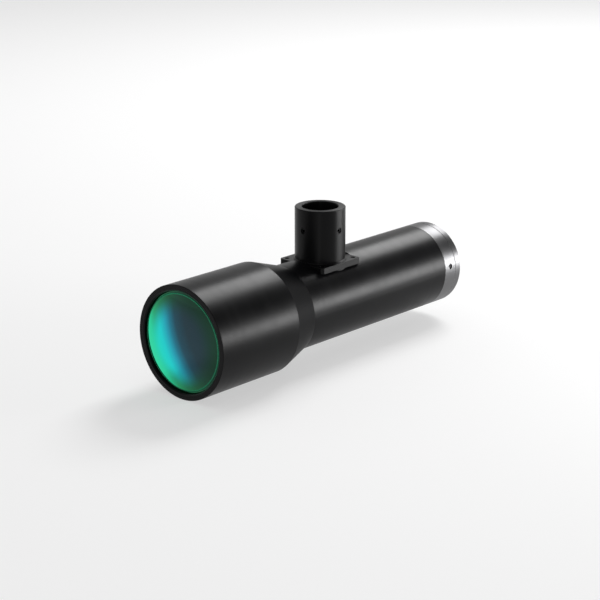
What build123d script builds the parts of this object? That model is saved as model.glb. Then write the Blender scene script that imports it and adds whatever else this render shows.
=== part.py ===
from build123d import *
import os

# A telecentric lens for machine vision, with a side port for in-line (coaxial) lighting.
# Light from the workpiece enters the large front doublet, passes the tilted beamsplitter plate
# under the port, goes through the aperture stop at the doublet's focus and the small rear group,
# and leaves through the camera thread. The light guide clamps into the upright port.
# Frame, in millimetres: the origin is at the centre of the camera shoulder, the flat annular
# face that a camera screws up against. The optical axis is Y, with the camera at +Y and the
# front glass at -Y. The light port points up, along +Z.

# Camera end: a screw thread of one inch with its shoulder plate
camera_thread_od = 25.4
camera_thread_length = 4.0
camera_thread_lead_in = 0.4
camera_bore = 22.4
plate_thickness = 3.6
neck_od = 28.0
neck_length = 8.9
neck_groove_depth = 0.8
neck_groove_width = 3.0
ring_length = 7.6
ring_spigot_length = 5.8
ring_spigot_step = 2.5
ring_screw_count = 3
ring_screw_clocking = 8.0

# Main tube
tube_od = 38.0
tube_wall = 4.5
port_to_ring = 66.4
port_to_barrel = 25.3
stub_length = 10.0
stub_step = 2.0
cell_step = 0.5

# Front barrel and its shoulder
barrel_od = 48.7
barrel_length = 44.8
shoulder_length = 15.1
shoulder_hollow = 0.55
shoulder_step = 0.5
shoulder_land = 1.0
lip_thickness = 2.0
inner_cone_length = 6.0
rim_wall = 1.35
rim_chamfer = 0.5
ring_thread_depth = 2.5
baffle_groove_count = 5
baffle_groove_pitch = 4.0
baffle_groove_width = 1.5
baffle_groove_depth = 0.6

# Front retaining ring
ring_skirt = 0.95
lip_overlap = 0.35
ring_bevel = 0.8
ring_sink = 0.05
spanner_slot_width = 1.4
spanner_slot_depth = 1.2

# Front glass: radii of curvature are positive where the centre lies towards the camera
glass_bevel = 0.25
lens_recess = 0.95
crown_front_radius = 85.0
crown_edge = 2.2
cement_radius = -62.0
flint_thickness = 3.0
flint_rear_radius = -210.0
front_air_gap = 1.0
inner_front_radius = 120.0
inner_edge = 2.9
seat_width = 1.5
front_baffle_thickness = 1.2
front_baffle_bore = 25.0
front_baffle_rim = 1.0

# Light port
port_bore = 16.0
port_wall = 3.1
port_length = 23.4
port_chamfer = 0.3
port_cove = 0.5
pocket_depth = 3.6
flange_thickness = 2.6
flange_margin = 0.5
flange_corner = 1.1
flange_edge_break = 0.15
spigot_od = 24.4
spigot_depth = 3.4
port_screw_count = 4
port_screw_drop = 9.3
set_screw_recess = 0.5
flange_screw_inset = 2.5

# Fasteners: slotless hexagon-socket set screws and small cheese-head screws
set_screw_od = 2.5
set_screw_socket = 1.27
set_screw_socket_depth = 1.1
set_screw_point = 0.4
ring_screw_length = 5.0
flange_screw_od = 1.4
flange_screw_head_od = 2.0
flange_screw_head_height = 0.7
flange_screw_sink = 0.9
flange_screw_reach = 3.4
flange_screw_slot_width = 0.35
flange_screw_slot_depth = 0.35

# Condenser lens, beamsplitter plate and the holder that carries them
condenser_od = 18.8
condenser_pocket_depth = 5.8
condenser_edge = 1.5
condenser_radius = 22.0
condenser_lip = 1.4
web_thickness = 2.6
web_bore = 13.0
holder_step = 0.2
beam_bore = 15.0
splitter_ledge = 1.0
splitter_thickness = 1.5
splitter_spare_length = 0.8
splitter_tilt = 45.0
trap_mouth = 12.0
trap_depth = 5.0

# Rear cell with the aperture stop and the rear group
lock_ring_setback = 9.6
lock_ring_thickness = 3.0
lock_ring_width = 4.4
cell_wall = 3.9
cell_front_wall = 2.0
cell_mouth = 15.0
cell_ring_sink = 0.5
cell_ring_thickness = 2.0
cell_ring_width = 2.0
stop_thickness = 0.5
stop_bore = 7.0
stop_air_gap = 2.2
rear_spacer_width = 1.4
rear_crown_front_radius = 32.0
rear_crown_edge = 1.6
rear_cement_radius = -24.0
rear_flint_thickness = 1.8
rear_flint_rear_radius = -90.0
rear_air_gap = 1.5
rear_inner_front_radius = 40.0
rear_inner_edge = 2.0

# Clearances and edge breaks
thread_gap = 0.05
slip_gap = 0.05
contact_gap = 0.02
cement_gap = 0.01
pocket_gap = 0.1
bore_gap = 0.3
edge_break = 0.2

# Radii worked out from the driving sizes
tube_r = tube_od / 2
tube_bore_r = tube_r - tube_wall
stub_r = tube_r - stub_step
barrel_r = barrel_od / 2
ring_thread_r = barrel_r - rim_wall
front_lens_r = ring_thread_r - ring_skirt - thread_gap
front_bore_r = front_lens_r + slip_gap
front_lip_r = front_lens_r - lip_overlap
seat_r = front_lens_r - seat_width
barrel_lip_r = tube_bore_r + cell_step
front_baffle_r = barrel_lip_r + cell_step
neck_r = neck_od / 2
ring_bore_r = neck_r + slip_gap
ring_spigot_r = tube_r - ring_spigot_step
cell_bore_r = tube_bore_r + cell_step
cell_r = cell_bore_r - slip_gap
cell_inner_r = cell_r - cell_wall
rear_lens_r = cell_inner_r - slip_gap
rear_spacer_bore_r = rear_lens_r - rear_spacer_width
port_bore_r = port_bore / 2
port_r = port_bore_r + port_wall
spigot_r = spigot_od / 2
flange_size = spigot_od + 2 * flange_margin
condenser_r = condenser_od / 2
condenser_lip_r = condenser_r - condenser_lip
holder_r = spigot_r - holder_step
set_screw_r = set_screw_od / 2
set_screw_hole_r = set_screw_r + thread_gap
flange_screw_r = flange_screw_od / 2
flange_screw_head_r = flange_screw_head_od / 2


def sag(curvature, radius):
    """How far a spherical face has moved along the axis at this distance from its vertex."""
    return radius**2 / (curvature * (1 + (1 - (radius / curvature) ** 2) ** 0.5))


# Stations along the optical axis, from the camera to the front
tube_rear_y = -plate_thickness - ring_length
port_y = tube_rear_y - port_to_ring
tube_front_y = port_y - port_to_barrel
shoulder_front_y = tube_front_y - shoulder_length
front_y = shoulder_front_y - barrel_length
stub_front_y = tube_front_y - stub_length
lip_front_y = stub_front_y - lip_thickness
inner_cone_y = lip_front_y - inner_cone_length
neck_front_y = -plate_thickness - neck_length
ring_screw_y = -plate_thickness - ring_length / 2
ring_socket_y = tube_rear_y - ring_spigot_length - edge_break

# Stations of the front glass, from the outer vertex inwards
crown_front_y = front_y + lens_recess + contact_gap - sag(crown_front_radius, front_lip_r)
crown_thickness = crown_edge + sag(crown_front_radius, front_lens_r) - sag(cement_radius, front_lens_r)
flint_front_y = crown_front_y + crown_thickness + cement_gap
flint_rear_y = flint_front_y + flint_thickness
inner_front_y = flint_rear_y + front_air_gap
inner_rear_y = inner_front_y + inner_edge + sag(inner_front_radius, front_lens_r)
front_spacer_y = flint_rear_y + sag(flint_rear_radius, seat_r) + contact_gap
front_spacer_end_y = inner_front_y + sag(inner_front_radius, seat_r) - contact_gap

# Stations of the rear group, from the lock ring towards the stop
cell_rear_y = tube_rear_y - lock_ring_setback - lock_ring_thickness
cell_ring_y = cell_rear_y - cell_ring_sink - cell_ring_thickness
rear_inner_y = cell_ring_y - rear_inner_edge - sag(rear_inner_front_radius, rear_lens_r)
rear_flint_rear_y = rear_inner_y - rear_air_gap
rear_flint_y = rear_flint_rear_y - rear_flint_thickness
rear_crown_rear_y = rear_flint_y - cement_gap
rear_crown_thickness = (
    rear_crown_edge + sag(rear_crown_front_radius, rear_lens_r) - sag(rear_cement_radius, rear_lens_r)
)
rear_crown_y = rear_crown_rear_y - rear_crown_thickness
stop_rear_y = rear_crown_y - stop_air_gap
stop_front_y = stop_rear_y - stop_thickness
cell_front_y = stop_front_y - cell_front_wall
stop_spacer_end_y = rear_crown_y + sag(rear_crown_front_radius, rear_spacer_bore_r) - contact_gap
rear_spacer_y = rear_flint_rear_y + sag(rear_flint_rear_radius, rear_spacer_bore_r) + contact_gap
rear_spacer_end_y = rear_inner_y + sag(rear_inner_front_radius, rear_spacer_bore_r) - contact_gap

# Heights of the light port above the optical axis
flange_seat_z = tube_r - pocket_depth
flange_top_z = flange_seat_z + flange_thickness
port_top_z = flange_top_z + port_length
spigot_bottom_z = flange_seat_z - spigot_depth
condenser_top_z = spigot_bottom_z + condenser_pocket_depth
port_floor_z = condenser_top_z + web_thickness
port_screw_z = port_top_z - port_screw_drop
condenser_edge_z = condenser_top_z - condenser_edge
condenser_vertex_z = condenser_edge_z - sag(condenser_radius, condenser_r)
holder_top_z = condenser_vertex_z + sag(condenser_radius, condenser_lip_r) - contact_gap
flange_screw_offset = flange_size / 2 - flange_screw_inset
flange_screw_seat_z = flange_top_z - flange_screw_sink - flange_screw_head_height
splitter_width = beam_bore + 2 * splitter_ledge
splitter_length = beam_bore * 2**0.5 + splitter_spare_length

port_plane = Plane(origin=(0, port_y, 0), x_dir=(1, 0, 0), z_dir=(0, -1, 0))
port_axis = Axis((0, port_y, 0), (0, 0, 1))
standing = (Align.CENTER, Align.CENTER, Align.MIN)


def turned(outline):
    """Spin a closed outline of (radius, y) points about the optical axis."""
    return revolve(make_face(Polyline(*outline, close=True)), Axis.Y)


def turned_upright(outline):
    """Spin a closed outline of (radius, z) points about the port's axis."""
    return revolve(port_plane * make_face(Polyline(*outline, close=True)), port_axis)


def face_arc(vertex, curvature, rim):
    """The half section of a spherical glass face, from its vertex out to the rim radius."""
    middle = (rim / 2, vertex + sag(curvature, rim / 2))
    return ThreePointArc((0, vertex), middle, (rim, vertex + sag(curvature, rim)))


def lens_element(front, front_curvature, rear, rear_curvature, rim):
    """A round lens with bevelled corners. A rear curvature of None makes that face flat."""
    inner = rim - glass_bevel
    front_face = face_arc(front, front_curvature, inner)
    if rear_curvature:
        rear_face = face_arc(rear, rear_curvature, inner)
    else:
        rear_face = Line((0, rear), (inner, rear))
    front_corner = front_face @ 1
    rear_corner = rear_face @ 1
    wall = Polyline(
        front_corner,
        (rim, front_corner.Y + glass_bevel),
        (rim, rear_corner.Y - glass_bevel),
        rear_corner,
    )
    middle = Line((0, rear), (0, front))
    return revolve(make_face([front_face, wall, rear_face, middle]), Axis.Y)


def ring_between(inner, outer, start, end):
    """A plain ring about the optical axis with broken outer corners."""
    return turned(
        [
            (inner, start),
            (outer - edge_break, start),
            (outer, start + edge_break),
            (outer, end - edge_break),
            (outer - edge_break, end),
            (inner, end),
        ]
    )


def axis_rod(radius, start, end):
    """A cylinder along the optical axis between two stations."""
    return extrude(Plane(origin=(0, start, 0), z_dir=(0, 1, 0)) * Circle(radius), end - start)


def port_rod(radius, start, end):
    """A cylinder along the port's axis between two heights."""
    return Pos(0, port_y, start) * extrude(Circle(radius), end - start)


def spanner_slots(reach, face_y, side):
    """A straight bar across a ring's face, which cuts two slots into it on the given side."""
    bar = Box(2 * reach, spanner_slot_depth, spanner_slot_width, align=(Align.CENTER, side, Align.CENTER))
    return Pos(0, face_y, 0) * bar


def set_screw(length):
    """A hexagon-socket set screw standing on its point, with its socket at the top."""
    body = Cylinder(set_screw_r, length, align=standing)
    body = chamfer(body.edges().group_by(Axis.Z)[0], set_screw_point)
    body = chamfer(body.edges().group_by(Axis.Z)[-1], edge_break / 2)
    socket = extrude(
        RegularPolygon(set_screw_socket / 2, 6, major_radius=False), set_screw_socket_depth
    )
    return body - Pos(0, 0, length - set_screw_socket_depth) * socket


def ring_spoke(index):
    """The plane that looks outwards along one screw of the camera-end ring."""
    angle = ring_screw_clocking + index * 360 / ring_screw_count
    outwards = Vector(1, 0, 0).rotate(Axis.Y, -angle)
    return Plane(origin=(0, ring_screw_y, 0), x_dir=(0, 1, 0), z_dir=outwards)


def port_spoke(index):
    """The plane that looks outwards along one screw of the light port."""
    outwards = Vector(1, 0, 0).rotate(Axis.Z, index * 360 / port_screw_count)
    return Plane(origin=(0, port_y, port_screw_z), x_dir=(0, 0, 1), z_dir=outwards)


def flange_corners(z):
    """The places of the four corner screws at this height."""
    offset = flange_screw_offset
    return [
        Pos(x * offset, port_y + y * offset, z)
        for x, y in ((-1, -1), (1, -1), (1, 1), (-1, 1))
    ]


def front_barrel():
    """The large barrel and its hollow-curved shoulder, turned in one piece."""
    land_r = tube_r + shoulder_step
    land_y = tube_front_y - shoulder_land
    start = Vector(barrel_r, shoulder_front_y)
    end = Vector(land_r, land_y)
    chord = end - start
    inwards = Vector(-chord.Y, chord.X).normalized()
    if inwards.X > 0:
        inwards = -inwards
    shoulder = ThreePointArc(start, (start + end) / 2 + inwards * shoulder_hollow, end)
    socket_r = stub_r + thread_gap
    inside = [
        end,
        (land_r, tube_front_y - edge_break),
        (land_r - edge_break, tube_front_y),
        (socket_r, tube_front_y),
        (socket_r, stub_front_y),
        (barrel_lip_r, stub_front_y),
        (barrel_lip_r, lip_front_y),
        (seat_r, inner_cone_y),
    ]
    for index in range(baffle_groove_count):
        groove_y = inner_cone_y - (index + 0.5) * baffle_groove_pitch
        inside += [
            (seat_r, groove_y),
            (seat_r + baffle_groove_depth, groove_y),
            (seat_r + baffle_groove_depth, groove_y - baffle_groove_width),
            (seat_r, groove_y - baffle_groove_width),
        ]
    inside += [
        (seat_r, inner_rear_y),
        (front_bore_r, inner_rear_y),
        (front_bore_r, front_y + ring_thread_depth),
        (ring_thread_r, front_y + ring_thread_depth),
        (ring_thread_r, front_y),
        (barrel_r - rim_chamfer, front_y),
        (barrel_r, front_y + rim_chamfer),
        start,
    ]
    return revolve(make_face([shoulder, Polyline(*inside)]), Axis.Y)


def front_retaining_ring():
    """The threaded ring that holds the front glass, with a sloping lip and two spanner slots."""
    outer = ring_thread_r - thread_gap
    top = front_y + ring_sink
    bevel_r = front_lip_r + ring_bevel
    skirt_r = front_lens_r + slip_gap
    glass_y = crown_front_y - contact_gap
    ring = turned(
        [
            (bevel_r, top),
            (outer, top),
            (outer, front_y + ring_thread_depth - edge_break),
            (skirt_r, front_y + ring_thread_depth - edge_break),
            (skirt_r, glass_y + sag(crown_front_radius, front_lens_r)),
            (front_lip_r, glass_y + sag(crown_front_radius, front_lip_r)),
            (front_lip_r, top + ring_bevel),
        ]
    )
    return ring - spanner_slots(bevel_r, top, Align.MIN)


def front_crown_lens():
    """The outer element of the front doublet, convex on both faces."""
    rear = crown_front_y + crown_thickness
    return lens_element(crown_front_y, crown_front_radius, rear, cement_radius, front_lens_r)


def front_flint_lens():
    """The inner element of the front doublet, cemented to the crown."""
    return lens_element(
        flint_front_y, cement_radius, flint_rear_y, flint_rear_radius, front_lens_r
    )


def front_spacer():
    """The spacer ring between the front doublet and the inner lens."""
    return ring_between(seat_r, front_lens_r, front_spacer_y, front_spacer_end_y)


def front_inner_lens():
    """The plano-convex lens that rests on the barrel's inner seat."""
    return lens_element(inner_front_y, inner_front_radius, inner_rear_y, None, front_lens_r)


def front_baffle():
    """The knife-edged light baffle clamped between the tube and the barrel's lip."""
    bore = front_baffle_bore / 2
    return turned(
        [
            (bore, stub_front_y),
            (front_baffle_r, stub_front_y),
            (front_baffle_r, stub_front_y + front_baffle_thickness),
            (bore + front_baffle_rim, stub_front_y + front_baffle_thickness),
        ]
    )


def main_tube():
    """The main tube, with the milled pocket and the cross bore for the light port."""
    socket_r = ring_spigot_r + thread_gap
    baffle_r = front_baffle_r + slip_gap
    baffle_y = stub_front_y + front_baffle_thickness
    tube = turned(
        [
            (baffle_r, stub_front_y),
            (stub_r - edge_break, stub_front_y),
            (stub_r, stub_front_y + edge_break),
            (stub_r, tube_front_y),
            (tube_r, tube_front_y),
            (tube_r, tube_rear_y - edge_break),
            (tube_r - edge_break, tube_rear_y),
            (socket_r, tube_rear_y),
            (socket_r, ring_socket_y),
            (cell_bore_r, ring_socket_y),
            (cell_bore_r, cell_front_y),
            (tube_bore_r, cell_front_y),
            (tube_bore_r, baffle_y),
            (baffle_r, baffle_y),
        ]
    )
    pocket_length = flange_size + 2 * pocket_gap
    pocket = Box(tube_od, pocket_length, pocket_depth, align=standing)
    tube -= Pos(0, port_y, flange_seat_z) * pocket
    tube -= port_rod(spigot_r + slip_gap, 0, tube_r)
    tapped_depth = flange_screw_reach + edge_break
    for corner in flange_corners(flange_seat_z - tapped_depth):
        tube -= corner * Cylinder(flange_screw_r + thread_gap, tapped_depth, align=standing)
    return tube


def light_port():
    """The upright port: a tube for the light guide on a square flange with a round spigot."""
    square = Rectangle(flange_size, flange_size)
    flange = extrude(chamfer(square.vertices(), flange_corner), flange_thickness)
    flange = chamfer(flange.edges().group_by(Axis.Z)[-1], flange_edge_break)
    cove = port_r + port_cove
    foot = Polyline((cove, flange_top_z), (0, flange_top_z), (0, port_top_z))
    rim = Polyline(
        (0, port_top_z),
        (port_r - port_chamfer, port_top_z),
        (port_r, port_top_z - port_chamfer),
        (port_r, flange_top_z + port_cove),
    )
    curve = RadiusArc((port_r, flange_top_z + port_cove), (cove, flange_top_z), port_cove)
    stem = revolve(port_plane * make_face([foot, rim, curve]), port_axis)
    port = Pos(0, port_y, flange_seat_z) * flange + stem
    port += port_rod(spigot_r, spigot_bottom_z, flange_seat_z + flange_thickness / 2)
    port -= turned_upright(
        [
            (0, spigot_bottom_z),
            (condenser_r + slip_gap, spigot_bottom_z),
            (condenser_r + slip_gap, condenser_top_z),
            (web_bore / 2, condenser_top_z),
            (web_bore / 2, port_floor_z),
            (port_bore_r, port_floor_z),
            (port_bore_r, port_top_z - port_chamfer),
            (port_bore_r + port_chamfer, port_top_z),
            (0, port_top_z),
        ]
    )
    for index in range(port_screw_count):
        port -= port_spoke(index) * extrude(Circle(set_screw_hole_r), port_r + edge_break)
    for corner in flange_corners(flange_screw_seat_z):
        port -= corner * Cylinder(flange_screw_head_r + pocket_gap, flange_thickness, align=standing)
    shank_depth = flange_top_z - spigot_bottom_z
    for corner in flange_corners(spigot_bottom_z):
        port -= corner * Cylinder(flange_screw_r + thread_gap, shank_depth, align=standing)
    return port


def port_flange_screws():
    """The four small cheese-head screws that hold the port's flange to the tube."""
    shank_bottom = flange_seat_z - flange_screw_reach
    shank_length = flange_screw_seat_z - shank_bottom
    head = Cylinder(flange_screw_head_r, flange_screw_head_height, align=standing)
    slot = Box(flange_screw_head_od, flange_screw_slot_width, flange_screw_slot_depth, align=standing)
    head -= Pos(0, 0, flange_screw_head_height - flange_screw_slot_depth) * slot
    screw = Cylinder(flange_screw_r, shank_length, align=standing)
    screw += Pos(0, 0, shank_length) * head
    return Compound(children=[corner * screw for corner in flange_corners(shank_bottom)])


def port_set_screws():
    """The set screws that clamp the light guide in the port."""
    length = port_wall - set_screw_recess - pocket_gap
    start = port_bore_r + pocket_gap
    screws = [
        port_spoke(index) * Pos(0, 0, start) * set_screw(length)
        for index in range(port_screw_count)
    ]
    return Compound(children=screws)


def condenser_lens():
    """The lens at the port's foot that collects the guide's light, flat side up."""
    flat = Polyline(
        (0, condenser_vertex_z),
        (0, condenser_top_z),
        (condenser_r, condenser_top_z),
        (condenser_r, condenser_edge_z),
    )
    half = (condenser_r / 2, condenser_vertex_z + sag(condenser_radius, condenser_r / 2))
    dome = ThreePointArc((condenser_r, condenser_edge_z), half, (0, condenser_vertex_z))
    return revolve(port_plane * make_face([flat, dome]), port_axis)


def beamsplitter_holder():
    """The holder that hangs from the port: a threaded boss over a body bored both ways."""
    reach = tube_bore_r - bore_gap
    body = port_rod(holder_r, -tube_r, 0) & axis_rod(reach, port_y - tube_r, port_y + tube_r)
    body += port_rod(holder_r, 0, spigot_bottom_z)
    body += port_rod(condenser_r, spigot_bottom_z, holder_top_z)
    body -= port_rod(condenser_lip_r, 0, holder_top_z)
    body -= axis_rod(beam_bore / 2, port_y - tube_r, port_y + tube_r)
    trap = Cone(0, trap_mouth / 2, trap_depth, align=standing)
    body -= Pos(0, port_y, -beam_bore / 2 - trap_depth) * trap
    slot_start = -splitter_width / 2 - slip_gap
    slot = Box(
        holder_r - slot_start,
        splitter_length + 2 * slip_gap,
        splitter_thickness + 2 * slip_gap,
        align=(Align.MIN, Align.CENTER, Align.CENTER),
    )
    slot_lift = Pos(slot_start, 0, -splitter_thickness / 2)
    body -= Pos(0, port_y, 0) * Rot(splitter_tilt, 0, 0) * slot_lift * slot
    return body


def beamsplitter_plate():
    """The half-silvered glass plate, tilted so that the port's light turns to the front."""
    plate = Box(
        splitter_width,
        splitter_length,
        splitter_thickness,
        align=(Align.CENTER, Align.CENTER, Align.MAX),
    )
    return Pos(0, port_y, 0) * Rot(splitter_tilt, 0, 0) * plate


def stop_cell():
    """The cell that carries the aperture stop and the rear glass."""
    return turned(
        [
            (cell_mouth / 2, cell_front_y),
            (cell_r - edge_break, cell_front_y),
            (cell_r, cell_front_y + edge_break),
            (cell_r, cell_rear_y),
            (cell_inner_r, cell_rear_y),
            (cell_inner_r, stop_front_y),
            (cell_mouth / 2, stop_front_y),
        ]
    )


def aperture_stop():
    """The thin disc with the aperture, at the front doublet's focus."""
    bore = stop_bore / 2
    return turned(
        [
            (bore, stop_front_y),
            (rear_lens_r, stop_front_y),
            (rear_lens_r, stop_rear_y),
            (bore + stop_thickness, stop_rear_y),
        ]
    )


def stop_spacer():
    """The spacer ring between the stop and the rear doublet."""
    return ring_between(rear_spacer_bore_r, rear_lens_r, stop_rear_y, stop_spacer_end_y)


def rear_crown_lens():
    """The crown element of the rear doublet."""
    return lens_element(
        rear_crown_y, rear_crown_front_radius, rear_crown_rear_y, rear_cement_radius, rear_lens_r
    )


def rear_flint_lens():
    """The flint element of the rear doublet."""
    return lens_element(
        rear_flint_y, rear_cement_radius, rear_flint_rear_y, rear_flint_rear_radius, rear_lens_r
    )


def rear_spacer():
    """The spacer ring between the rear doublet and the last lens."""
    return ring_between(rear_spacer_bore_r, rear_lens_r, rear_spacer_y, rear_spacer_end_y)


def rear_inner_lens():
    """The plano-convex lens nearest to the camera."""
    return lens_element(rear_inner_y, rear_inner_front_radius, cell_ring_y, None, rear_lens_r)


def cell_retaining_ring():
    """The threaded ring that holds the rear glass in its cell."""
    outer = cell_inner_r - thread_gap
    end = cell_ring_y + cell_ring_thickness
    ring = ring_between(outer - cell_ring_width, outer, cell_ring_y, end)
    return ring - spanner_slots(outer, end, Align.MAX)


def cell_lock_ring():
    """The threaded ring that locks the cell against its shoulder in the tube."""
    outer = cell_bore_r - thread_gap
    end = cell_rear_y + lock_ring_thickness
    ring = ring_between(outer - lock_ring_width, outer, cell_rear_y, end)
    return ring - spanner_slots(outer, end, Align.MAX)


def rear_ring():
    """The bright clamp ring at the tube's end, with its screwed spigot."""
    ring = turned(
        [
            (ring_bore_r, tube_rear_y - ring_spigot_length),
            (ring_spigot_r - edge_break, tube_rear_y - ring_spigot_length),
            (ring_spigot_r, tube_rear_y - ring_spigot_length + edge_break),
            (ring_spigot_r, tube_rear_y),
            (tube_r - edge_break, tube_rear_y),
            (tube_r, tube_rear_y + edge_break),
            (tube_r, -plate_thickness - edge_break),
            (tube_r - edge_break, -plate_thickness),
            (ring_bore_r, -plate_thickness),
        ]
    )
    for index in range(ring_screw_count):
        ring -= ring_spoke(index) * extrude(Circle(set_screw_hole_r), tube_r + edge_break)
    return ring


def ring_set_screws():
    """The set screws that hold the camera mount's neck at the chosen turn."""
    start = neck_r - neck_groove_depth + slip_gap
    screws = [
        ring_spoke(index) * Pos(0, 0, start) * set_screw(ring_screw_length)
        for index in range(ring_screw_count)
    ]
    return Compound(children=screws)


def camera_mount():
    """The shoulder plate with the camera thread behind it and the grooved neck in front."""
    bore = camera_bore / 2
    thread_r = camera_thread_od / 2
    groove_r = neck_r - neck_groove_depth
    groove_y = ring_screw_y - neck_groove_width / 2
    return turned(
        [
            (bore, neck_front_y),
            (neck_r - edge_break, neck_front_y),
            (neck_r, neck_front_y + edge_break),
            (neck_r, groove_y),
            (groove_r, groove_y),
            (groove_r, groove_y + neck_groove_width),
            (neck_r, groove_y + neck_groove_width),
            (neck_r, -plate_thickness),
            (tube_r - edge_break, -plate_thickness),
            (tube_r, -plate_thickness + edge_break),
            (tube_r, -edge_break),
            (tube_r - edge_break, 0),
            (thread_r, 0),
            (thread_r, camera_thread_length - camera_thread_lead_in),
            (thread_r - camera_thread_lead_in, camera_thread_length),
            (bore, camera_thread_length),
        ]
    )


pieces = [
    front_barrel,
    front_retaining_ring,
    front_crown_lens,
    front_flint_lens,
    front_spacer,
    front_inner_lens,
    front_baffle,
    main_tube,
    light_port,
    port_flange_screws,
    port_set_screws,
    condenser_lens,
    beamsplitter_holder,
    beamsplitter_plate,
    stop_cell,
    aperture_stop,
    stop_spacer,
    rear_crown_lens,
    rear_flint_lens,
    rear_spacer,
    rear_inner_lens,
    cell_retaining_ring,
    cell_lock_ring,
    rear_ring,
    ring_set_screws,
    camera_mount,
]

os.makedirs("parts", exist_ok=True)
for piece in pieces:
    export_step(piece(), os.path.join("parts", piece.__name__ + ".step"))
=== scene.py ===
import math

import bpy
import numpy as np
from bpy.props import FloatProperty, FloatVectorProperty, IntProperty, PointerProperty
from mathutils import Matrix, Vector


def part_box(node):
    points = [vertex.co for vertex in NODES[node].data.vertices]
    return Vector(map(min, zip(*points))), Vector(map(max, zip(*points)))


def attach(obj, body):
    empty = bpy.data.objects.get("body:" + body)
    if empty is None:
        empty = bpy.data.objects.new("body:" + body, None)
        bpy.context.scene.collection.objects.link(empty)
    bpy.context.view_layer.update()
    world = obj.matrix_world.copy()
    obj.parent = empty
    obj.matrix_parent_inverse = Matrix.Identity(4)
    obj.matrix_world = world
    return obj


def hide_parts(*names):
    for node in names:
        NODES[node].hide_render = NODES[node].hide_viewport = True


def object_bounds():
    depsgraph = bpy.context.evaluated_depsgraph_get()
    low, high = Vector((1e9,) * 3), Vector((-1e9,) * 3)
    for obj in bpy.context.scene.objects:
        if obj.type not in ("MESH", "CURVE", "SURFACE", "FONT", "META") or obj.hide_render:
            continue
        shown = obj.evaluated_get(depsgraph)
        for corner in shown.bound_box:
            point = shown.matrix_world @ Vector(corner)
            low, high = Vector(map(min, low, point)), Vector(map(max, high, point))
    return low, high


bl_info = {
    "name": "Telecentric lens looks",
    "version": (1, 0, 0),
    "blender": (4, 5, 0),
    "location": "View3D > Sidebar > Lens",
    "description": "Finishes, turned pieces and studio for the packed telecentric lens",
    "category": "Object",
}

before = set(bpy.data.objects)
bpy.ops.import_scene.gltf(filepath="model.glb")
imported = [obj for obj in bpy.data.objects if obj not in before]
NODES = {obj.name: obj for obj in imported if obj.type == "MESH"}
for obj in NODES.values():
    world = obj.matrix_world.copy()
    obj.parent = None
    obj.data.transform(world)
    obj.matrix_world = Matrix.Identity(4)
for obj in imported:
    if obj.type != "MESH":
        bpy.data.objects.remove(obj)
CAD_BOX = [list(corner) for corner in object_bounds()]

# Places read from the frame, in metres. The optical axis is Y and the port stands along Z.
PORT_LOW, PORT_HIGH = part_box("light_port")
PORT_Y = (PORT_LOW.y + PORT_HIGH.y) / 2
MOUNT_LOW, MOUNT_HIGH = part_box("camera_mount")
BARREL_LOW, BARREL_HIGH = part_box("front_barrel")
GLASS_LOW, GLASS_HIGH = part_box("front_crown_lens")
GLASS_RADIUS = GLASS_HIGH.x
TUBE_FRONT_Y = BARREL_HIGH.y
MM = 0.001

# Inside of the barrel and of the ring in front of the glass, in millimetres.
SOCKET_RADIUS = 17.05
SOCKET_DEPTH = 10.0
INNER_LIP_RADIUS = 15.0
INNER_LIP_LENGTH = 2.0
INNER_CONE_LENGTH = 6.0
SEAT_RADIUS = 20.5
LIGHT_GROOVES = 5
LIGHT_GROOVE_PITCH = 4.0
LIGHT_GROOVE_LENGTH = 1.5
LIGHT_GROOVE_DEPTH = 0.6
GLASS_BORE_RADIUS = 22.05
RING_THREAD_RADIUS = 23.0
RING_THREAD_LENGTH = 2.5
RING_RADIUS = 22.95
LIP_REST_DEPTH = 0.95
LIP_REST_RISE = 0.09
BARREL_EDGE_BREAK = 0.1

# The camera mount, in metres.
NECK_RADIUS = 14.0 * MM
NECK_GROOVE_RADIUS = 13.2 * MM
NECK_GROOVE_HALF = 1.5 * MM
MOUNT_EDGE_BREAK = 0.2 * MM
THREAD_START = 0.3 * MM
THREAD_LEAD_IN = 0.4 * MM
THREAD_ROWS_PER_TURN = 14
THREAD_FLANK_SLOPE = 1.6
THREAD_CREST_SHARE = 0.3

# Points along the front glass's half section.
FACE_POINTS = 40
BEAD_POINTS = 21
MARGIN_POINTS = 8

# The floor's grid, with its innermost ring as a share of the radius.
FLOOR_RINGS = 24
FLOOR_STEPS = 96
FLOOR_MIDDLE = 0.002

# Edges sharper than these stay sharp.
TURNED_SHARP = math.radians(10)
THREAD_SHARP = math.radians(24)
GLASS_SHARP = math.radians(50)

# Each light's azimuth and elevation in degrees, and its distance and size in metres.
LIGHTS = {
    "key_light": (-12.7, 43.0, 1.2, (0.50, 0.50)),
    "side_light": (44.6, 3.0, 0.45, (0.26, 0.12)),
    "front_strip": (142.0, 10.0, 0.7, (0.05, 0.30)),
}
OVERHEAD_SPREAD = math.radians(75)

# Share of the way up the studio's wall, and its colour there.
WALL = (
    (0.00, (0.80, 0.80, 0.80)),
    (0.34, (0.80, 0.80, 0.80)),
    (0.42, (0.50, 0.50, 0.51)),
    (0.50, (0.10, 0.10, 0.10)),
    (0.60, (0.04, 0.04, 0.04)),
    (1.00, (0.08, 0.08, 0.08)),
)

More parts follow.
